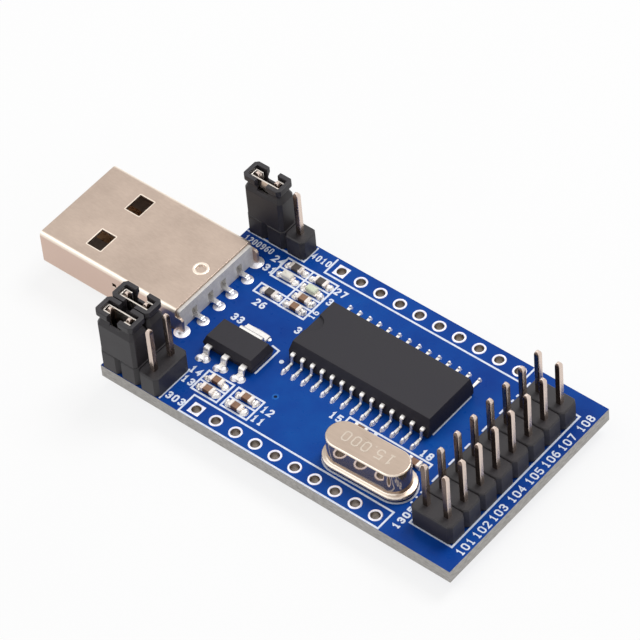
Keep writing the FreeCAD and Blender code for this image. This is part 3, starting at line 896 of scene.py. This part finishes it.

# %% [markdown]
# The plug is one sheet folded into a tube, with a seam below and four windows that a socket's
# springs drop into. Inside it a pale nylon tongue carries the four gold contacts. A thin raised
# ring round each upper window and round the small dimple is painted bright as a highlight.

# %% Plug
PLUG_Y, PLUG_TOP = 1.4, 2.9
WINDOW_X, WINDOW_OFFSET, WINDOW_HALF_X, WINDOW_HALF_Y = -32.3, 3.0, 0.925, 1.2
WINDOW_RIM = ((0.0, -0.02), (0.03, 0.015), (0.12, 0.015), (0.15, -0.02))
DIMPLE_X = -21.45
DIMPLE_RIM = ((0.56, -0.02), (0.60, 0.025), (0.68, 0.045), (0.80, 0.045), (0.87, 0.02), (0.90, -0.02))
soften("usb_shell", plug_metal, 0.10, 3)
soften("usb_insulator", nylon, 0.08)
for index in range(1, 5):
    soften(f"usb_contact_{index}", gold, 0.04)
# Painted highlight: thin raised rings round the upper windows and the dimple, in a bright finish.
rims = Form()
for y in (PLUG_Y - WINDOW_OFFSET, PLUG_Y + WINDOW_OFFSET):
    rims.loft([
        rounded_rectangle(
            WINDOW_X, y, PLUG_TOP + rise, WINDOW_HALF_X + out, WINDOW_HALF_Y + out, 0.03 + out / 2, 2,
        )
        for out, rise in WINDOW_RIM
    ], closed=True)
rims.loft([
    circle(DIMPLE_X, PLUG_Y, PLUG_TOP + rise, radius, 40) for radius, rise in DIMPLE_RIM
], closed=True)
rims.make("plug_rims", highlight_rim_metal, "plug_steel")

# %% [markdown]
# The small parts have two metal ends on a ceramic body. Each end stands in solder that runs
# down onto its land, lumpy and never quite the same twice, so the wedges are uneven on purpose.

# %% Small surface parts
random.seed(7)
CAPACITORS = (
    (-12.04, -7.50), (-12.04, -8.92), (-8.17, -7.48), (-8.32, -8.97),
    (-12.05, 6.08), (-12.05, 4.70), (3.53, -4.04), (10.48, -4.16),
)
RESISTORS = ((-15.30, 8.93), (-12.05, 8.93), (-15.35, 4.75))
LIGHTS = ((-15.30, 7.45), (-12.05, 7.45))


def soft_block(form, x, y, low, high, half_x, half_y, soft):
    """An upright block whose lower and upper edges are broken by the softness."""
    form.loft([
        rounded_rectangle(x, y, z, half_x - inset, half_y - inset, soft - inset / 2, 2)
        for z, inset in ((low, soft), (low + soft, 0), (high - soft, 0), (high, soft))
    ])


def small_part(node, x, y, blocks, end_height, finish, slot):
    """A body of soft blocks (low, high, half length, softness), two ends and uneven solder."""
    body, ends, wedges = Form(), Form(), Form()
    for low, high, half_x, soft in blocks:
        soft_block(body, x, y, low, high, half_x, 0.4, soft)
    body.make(node + "_look", finish, slot, node + "_body")
    for side in (-1, 1):
        soft_block(ends, x + side * 0.6, y, 0.02, end_height + 0.02, 0.2, 0.42, 0.05)
        for _ in range(6):
            bead(wedges, x + side * random.uniform(0.86, 1.20), y + random.uniform(-0.16, 0.16),
                 random.uniform(0.28, 0.40), random.uniform(0.30, 0.42), random.uniform(0.14, 0.40))
    ends.make(node + "_ends_look", end_metal, "tin", node + "_ends")
    wedges.make(node + "_solder", rough_solder, "tin")


CAPACITOR_BLOCK, RESISTOR_BLOCK = (0.03, 0.5, 0.42, 0.04), (0.03, 0.45, 0.46, 0.03)
LIGHT_BASE, LIGHT_LENS = (0.03, 0.3, 0.46, 0.03), (0.28, 0.74, 0.62, 0.10)
for index, (x, y) in enumerate(CAPACITORS, 1):
    small_part(f"capacitor_{index}", x, y, (CAPACITOR_BLOCK,), 0.52, capacitor_brown,
               "capacitor_ceramic")
for index, (x, y) in enumerate(RESISTORS, 1):
    small_part(f"resistor_{index}", x, y, (RESISTOR_BLOCK,), 0.45, resistor_dark, "resistor_ceramic")
for index, ((x, y), lens) in enumerate(zip(LIGHTS, (white_lens, green_lens)), 1):
    small_part(f"light_{index}", x, y, (LIGHT_BASE, LIGHT_LENS), 0.28, lens, "clear_lens")

# %% [markdown]
# Under the board every pin, tail and leg ends in a cone of solder. The plug's tails and legs
# have one above the board too. The cones are hollow-flanked like the beads, but steeper.

# %% Solder joints
CONE = ((1.0, 0.0), (0.97, 0.06), (0.78, 0.16), (0.60, 0.38), (0.50, 0.65), (0.44, 0.9), (0.36, 1.0))
UNDERSIDE = -1.6
CRYSTAL_WIRE_OFFSET = 2.44
joints = Form()
for places in headers.values():
    for x, y in places:
        bead(joints, x, y, 0.9, 0.9, -0.7, UNDERSIDE, CONE)
joints.make("header_joints_look", solder, "tin", "header_solder_joints")
plug_joints = Form()
for offset in (-3.5, -1.0, 1.0, 3.5):
    bead(plug_joints, -18.5, PLUG_Y + offset, 0.66, 0.66, 0.34, 0, CONE)
    bead(plug_joints, -18.5, PLUG_Y + offset, 0.85, 0.85, -0.5, UNDERSIDE, CONE)
for offset in (-5.85, 5.85):
    bead(plug_joints, -19.33, PLUG_Y + offset, 0.86, 0.9, 0.32, 0, CONE)
    bead(plug_joints, -19.38, PLUG_Y + offset, 0.86, 0.9, -0.5, UNDERSIDE, CONE)
plug_joints.make("plug_joints_look", solder, "tin", "usb_solder_joints")
crystal_wires = Form()
for side in (-1, 1):
    x = CRYSTAL_X + side * CRYSTAL_WIRE_OFFSET * math.cos(CRYSTAL_TURN)
    y = CRYSTAL_Y + side * CRYSTAL_WIRE_OFFSET * math.sin(CRYSTAL_TURN)
    crystal_wires.loft([circle(x, y, z, 0.22, 12) for z in (-2.5, 0.2)])
    bead(crystal_wires, x, y, 0.75, 0.75, -0.55, UNDERSIDE, CONE)
crystal_wires.make("crystal_wires_look", solder, "tin", "crystal_leads")

# %% [markdown]
# The board itself needs no finer mesh. It keeps its solid and takes the mask's finish.

# %% The board
board = nodes["circuit_board"]
board.data.materials.clear()
board.data.materials.append(mask.material)
print("board faces:", len(board.data.polygons))

# %% [markdown]
# The printed lines mark where each part goes. Ink lies on the mask as a skin a few hundredths of
# a millimetre thick, so each line is a thin ribbon with its own upper face.

# %% Printed lines
INK_LOW, INK_HIGH = 0.002, 0.018
SKIN_STEP = 0.0004


def ribbon(form, path, width=0.21, low=INK_LOW, high=INK_HIGH):
    """Ink along a path of points (x, y): one skin, mitred where it turns, closed if the path is.

    Strokes that cross differ a hair in height, so that no two faces lie in one plane.
    """
    closed = path[0] == path[-1]
    points = [Vector(point) for point in (path[:-1] if closed else path)]
    form.strokes += 1
    high += SKIN_STEP * (form.strokes % 16)
    sections = []
    for index, here in enumerate(points):
        ways = []
        if closed or index > 0:
            ways.append((here - points[index - 1]).normalized())
        if closed or index < len(points) - 1:
            ways.append((points[(index + 1) % len(points)] - here).normalized())
        way = sum(ways, Vector((0, 0))).normalized()
        side = Vector((-way.y, way.x)) * width / 2 / max(way.dot(ways[0]), 0.45)
        sections.append((here, side))
        if not closed and index == 0:
            sections.insert(0, (here - way * width * 0.35, side * 0.55))
        if not closed and index == len(points) - 1:
            sections.append((here + way * width * 0.35, side * 0.55))
    form.loft([
        [(*(here - side), low), (*(here + side), low), (*(here + side), high), (*(here - side), high)]
        for here, side in sections
    ], closed=closed)


def box_path(x0, y0, x1, y1):
    return [(x0, y0), (x1, y0), (x1, y1), (x0, y1), (x0, y0)]


LINES = [
    box_path(-12.80, -12.58, 12.65, -10.12),
    [(-12.75, 12.47), (-12.75, 10.30), (12.48, 10.30), (12.48, 12.57)],
    [(-15.40, -12.47), (-15.40, -7.86)],
    [(-22.90, 10.20), (-15.40, 10.20), (-15.40, 12.50)],
    [(14.67, -9.45), (14.67, -10.16), (19.84, -10.16), (19.84, 10.20), (14.68, 10.20)],
    box_path(-13.69, -9.60, -10.39, -6.80),
    [(-13.69, -8.21), (-10.39, -8.21)],
    box_path(-9.84, -9.58, -6.50, -6.76),
    [(-9.84, -8.19), (-6.50, -8.19)],
    box_path(-17.00, 6.78, -10.42, 9.67),
    [(-17.00, 8.25), (-10.42, 8.25)],
    [(-13.68, 9.67), (-13.68, 4.05), (-10.42, 4.05), (-10.42, 6.78)],
    [(-13.68, 5.38), (-10.42, 5.38)],
    [(-13.68, 5.41), (-17.04, 5.41), (-17.04, 4.10), (-13.68, 4.10)],
    [(-10.66, -0.52), (-9.70, -0.66), (-9.72, -4.35)],
    [(9.60, -0.10), (9.60, 5.93)],
    [(1.58, -4.75), (1.58, -3.23), (4.93, -3.23), (4.93, -4.60)],
    [(5.14, -4.60), (5.14, -3.23), (11.93, -3.23), (11.93, -4.75)],
]
SPINE_X = 13.24
DASHES = (
    (-4.37, 0.46), (-1.8, 0.4), (0.7, 0.35), (3.5, 0.4), (6.3, 0.4), (7.93, 0.12),
    (8.75, 0.12), (10.5, 0.3), (-8.1, 0.06), (-7.3, 0.06), (-6.55, 0.06),
)
lines = Form()
for path in LINES:
    ribbon(lines, path)
for middle, half in DASHES:
    ribbon(lines, [(SPINE_X, middle - half), (SPINE_X, middle + half)])
round_the_can = stadium(CRYSTAL_X, CRYSTAL_Y, 0, 10.75, 4.25, CRYSTAL_TURN)
ribbon(lines, [(x, y) for x, y, z in round_the_can + round_the_can[:1]])
lines.loft([circle(-8.56, -1.63, z, 0.25, 16) for z in (INK_LOW, INK_HIGH)])
lines.make("printed_lines", ink, "board")

# %% [markdown]
# One small hole that joins the two faces lies under the mask beside the regulator. Its copper
# ring lifts the mask a little and its middle is dark. Two low lofts on the board say as much.

# %% The small hole and its ring
VIA_X, VIA_Y = -6.11, -5.53
VIA_RING = ((0.17, 0.0), (0.19, 0.012), (0.36, 0.012), (0.38, 0.0))
ring = Form()
ring.loft([circle(VIA_X, VIA_Y, z, radius, 20) for radius, z in VIA_RING], closed=True)
ring.make("via_ring", ring_blue, "board")
hollow = Form()
hollow.loft([circle(VIA_X, VIA_Y, z, 0.18, 16) for z in (0.0, 0.004)])
hollow.make("via_centre", pit, "board")

# %% [markdown]
# Beside the pins and parts the board carries small labels. Here they are plain numbers, drawn
# with a stroke font of straight runs: each digit is a path on a grid four wide and six high.

# %% Printed numbers
STROKES = {
    "0": [[(1, 0), (3, 0), (4, 1), (4, 5), (3, 6), (1, 6), (0, 5), (0, 1), (1, 0)]],
    "1": [[(0.8, 4.8), (2, 6), (2, 0)], [(0.8, 0), (3.2, 0)]],
    "2": [[(0, 5), (1, 6), (3, 6), (4, 5), (4, 3.8), (0, 0), (4, 0)]],
    "3": [[(0, 5), (1, 6), (3, 6), (4, 5), (4, 4), (3, 3.1), (1.5, 3.1)],
          [(3, 3.1), (4, 2.2), (4, 1), (3, 0), (1, 0), (0, 1)]],
    "4": [[(3, 0), (3, 6), (0, 2), (2.4, 2)], [(2.2, 2), (4, 2)]],
    "5": [[(4, 6), (0.3, 6), (0, 3.4), (3, 3.6), (4, 2.7), (4, 1), (3, 0), (1, 0), (0, 0.8)]],
    "6": [[(3.6, 6), (1.6, 6), (0, 4), (0, 1), (1, 0), (3, 0), (4, 1), (4, 2.5), (3, 3.4), (1, 3.4)]],
    "7": [[(0, 6), (4, 6), (1.6, 0)]],
    "8": [[(1, 3.2), (0.2, 4), (0.2, 5.2), (1, 6), (3, 6), (3.8, 5.2), (3.8, 4), (3, 3.2), (1, 3.2)],
          [(1, 3.2), (0, 2.3), (0, 0.9), (1, 0), (3, 0), (4, 0.9), (4, 2.3), (3, 3.2)]],
    "9": [[(0.4, 0), (2.4, 0), (4, 2), (4, 5), (3, 6), (1, 6), (0, 5), (0, 3.6), (1, 2.7), (3, 2.7)]],
    ".": [[(1.7, 0), (2.2, 0)]],
}


def number(form, text, x, y, high=0.95, turn=0, wide=0.62, step=0.80, width=0.2,
           low=INK_LOW, top=INK_HIGH):
    """Digits centred on a place, read along the direction of the turn (degrees)."""
    unit_x, unit_y = (wide - width) / 4, (high - width) / 6
    c, s = math.cos(math.radians(turn)), math.sin(math.radians(turn))
    advance = [0.42 if sign == "." else 1.0 for sign in text]
    start = -sum(advance) * step / 2
    for index, digit in enumerate(text):
        middle = start + (sum(advance[:index]) + advance[index] / 2) * step
        for stroke in STROKES[digit]:
            path = []
            for gx, gy in stroke:
                px = middle + (gx - 2) * unit_x
                py = (gy - 3) * unit_y
                path.append((x + c * px - s * py, y + s * px + c * py))
            ribbon(form, path, width, low, top)


PIN_LABEL_X, PIN_LABEL_Y = 20.85, (-9.35, -6.75, -4.15, -1.25, 1.55, 4.2, 6.85, 9.85)
LABELS = (
    ("24", -17.62, 8.85), ("31", -17.64, 7.35), ("26", -15.35, 3.10), ("27", -9.57, 9.02),
    ("3", -9.72, 7.45), ("12", -5.5, -7.5), ("11", -5.56, -8.95), ("15", 0.45, -4.0),
    ("18", 10.76, -2.56), ("3", -9.9, 2.6), ("14", -14.72, -7.60), ("13", -14.57, -9.03),
    ("33", -15.9, 0.26), ("303", -14.03, -11.60),
)
numbers = Form()
for index, y in enumerate(PIN_LABEL_Y):
    number(numbers, str(101 + index), PIN_LABEL_X, y, turn=90, width=0.16)
for text, x, y in LABELS:
    number(numbers, text, x, y)
number(numbers, "1305", 13.85, -10.05, high=0.85, turn=90)
number(numbers, "1200960", -20.69, 9.35, high=0.80, wide=0.42, step=0.55, width=0.14)
number(numbers, "4010", -14.09, 11.43, high=0.85, wide=0.48, step=0.64, width=0.16)
number(numbers, "16", -9.98, 5.15, high=0.80, turn=90, wide=0.5, step=0.66, width=0.15)
numbers.make("printed_numbers", ink, "board")
can_number = Form()
number(can_number, "15.000", CRYSTAL_X, CRYSTAL_Y, high=1.3, turn=180 + math.degrees(CRYSTAL_TURN),
       wide=0.85, step=1.19, width=0.16, low=CAN_TOP, top=CAN_TOP + 0.006)
can_number.make("crystal_number", can_ink, "can_steel")

# %% [markdown]
# The photograph was taken from high over one corner with a long lens. The camera's place, the way
# it looks and its small tilt were found from points on the board whose real sizes are known.

# %% Camera
camera_data = bpy.data.cameras.new("camera")
camera_data.lens = 232.645
camera_data.sensor_width = 36.0
camera_data.clip_start = 0.01
camera_data.clip_end = 20.0
camera = bpy.data.objects.new("camera", camera_data)
bpy.context.scene.collection.objects.link(camera)
forward = Vector((-0.46053573, 0.48485981, -0.74351719)).normalized()
level_right = forward.cross(Vector((0, 0, 1))).normalized()
level_down = forward.cross(level_right)
tilt = math.radians(5.588)
right = level_right * math.cos(tilt) + level_down * math.sin(tilt)
down = forward.cross(right)
camera.matrix_world = Matrix((
    (right.x, -down.x, -forward.x, 0.191617),
    (right.y, -down.y, -forward.y, -0.197448),
    (right.z, -down.z, -forward.z, 0.313547),
    (0, 0, 0, 1),
))
bpy.context.scene.camera = camera
print("camera", round(camera.location.length, 3), "m from the part's origin")

# %% [markdown]
# The light is that of a small studio tent. The main source stands beyond the far side, so the near
# faces of chips and headers stay dark. A faint wide card fills them. The surround is plain, and at
# full white only for the rays that see it or mirror it, so the plated metal looks like metal.

# %% Lights and surround
def soft_light(name, place, aim, width, height, power):
    data = bpy.data.lights.new(name, "AREA")
    data.shape = "RECTANGLE"
    data.size, data.size_y = width, height
    data.energy = power
    light = bpy.data.objects.new(name, data)
    bpy.context.scene.collection.objects.link(light)
    light.location = place
    light.rotation_euler = (Vector(aim) - Vector(place)).to_track_quat("-Z", "Y").to_euler()


soft_light("far_side", (0.06, 0.31, 0.50), (0, 0, 0), 0.26, 0.26, 1.75)
soft_light("near_card", (-0.28, -0.26, 0.47), (0, 0, 0.005), 0.46, 0.40, 0.55)

surround = bpy.data.worlds.new("surround")
bpy.context.scene.world = surround
surround.use_nodes = True
surround.node_tree.nodes.clear()
sky = Nodes(surround.node_tree)
seen = sky.ray("Camera").larger(sky.ray("Transmission")).larger(sky.ray("Glossy"))
fill = sky.node("ShaderNodeBackground", None, {"Color": (1, 1, 1), "Strength": 0.50})
white = sky.node("ShaderNodeBackground", None, {"Color": (1, 1, 1), "Strength": 1.0})
choice = sky.node("ShaderNodeMixShader", None, {0: seen, 1: fill, 2: white})
sky.node("ShaderNodeOutputWorld", None, {"Surface": choice})
print("lamps:", len(bpy.data.lights), "and a plain surround")

# %% [markdown]
# The floor is a wide pale sheet just under the pin tips. To the camera it is part paper and part
# white glow, so it stays white and still carries the soft shadow of the board. Light that falls
# on the object comes from the paper alone.

# %% Floor
FLOOR, GLOW_SHARE = 3.0, 0.82
floor_mesh = bpy.data.meshes.new("floor")
floor_mesh.from_pydata(
    [(-FLOOR, -FLOOR, 0), (FLOOR, -FLOOR, 0), (FLOOR, FLOOR, 0), (-FLOOR, FLOOR, 0)], [],
    [(0, 1, 2, 3)],
)
floor = bpy.data.objects.new("floor", floor_mesh)
bpy.context.scene.collection.objects.link(floor)
paper = Finish("pale_paper", Roughness=0.9, Specular_IOR_Level=0.0)
paper.colour(paper.ramp(
    paper.noise(0.02, 2), (0.3, (0.88, 0.88, 0.88)), (0.7, (0.92, 0.92, 0.92)),
))
glow = paper.node("ShaderNodeEmission", None, {"Strength": 1.0})
seen = (paper.ray("Camera") + paper.ray("Glossy")) * GLOW_SHARE
sheet_of_paper = Value(paper, paper.shader.outputs[0])
blend = paper.node("ShaderNodeMixShader", None, {0: seen, 1: sheet_of_paper, 2: glow})
paper.tree.links.new(blend.socket, paper.tree.nodes["Material Output"].inputs["Surface"])
floor_mesh.materials.append(paper.material)
print("floor", 2 * FLOOR, "m wide")

# %% [markdown]
# The view transform stays plain, so that a colour comes out as it was written.

# %% The view transform
bpy.context.scene.view_settings.view_transform = "Standard"
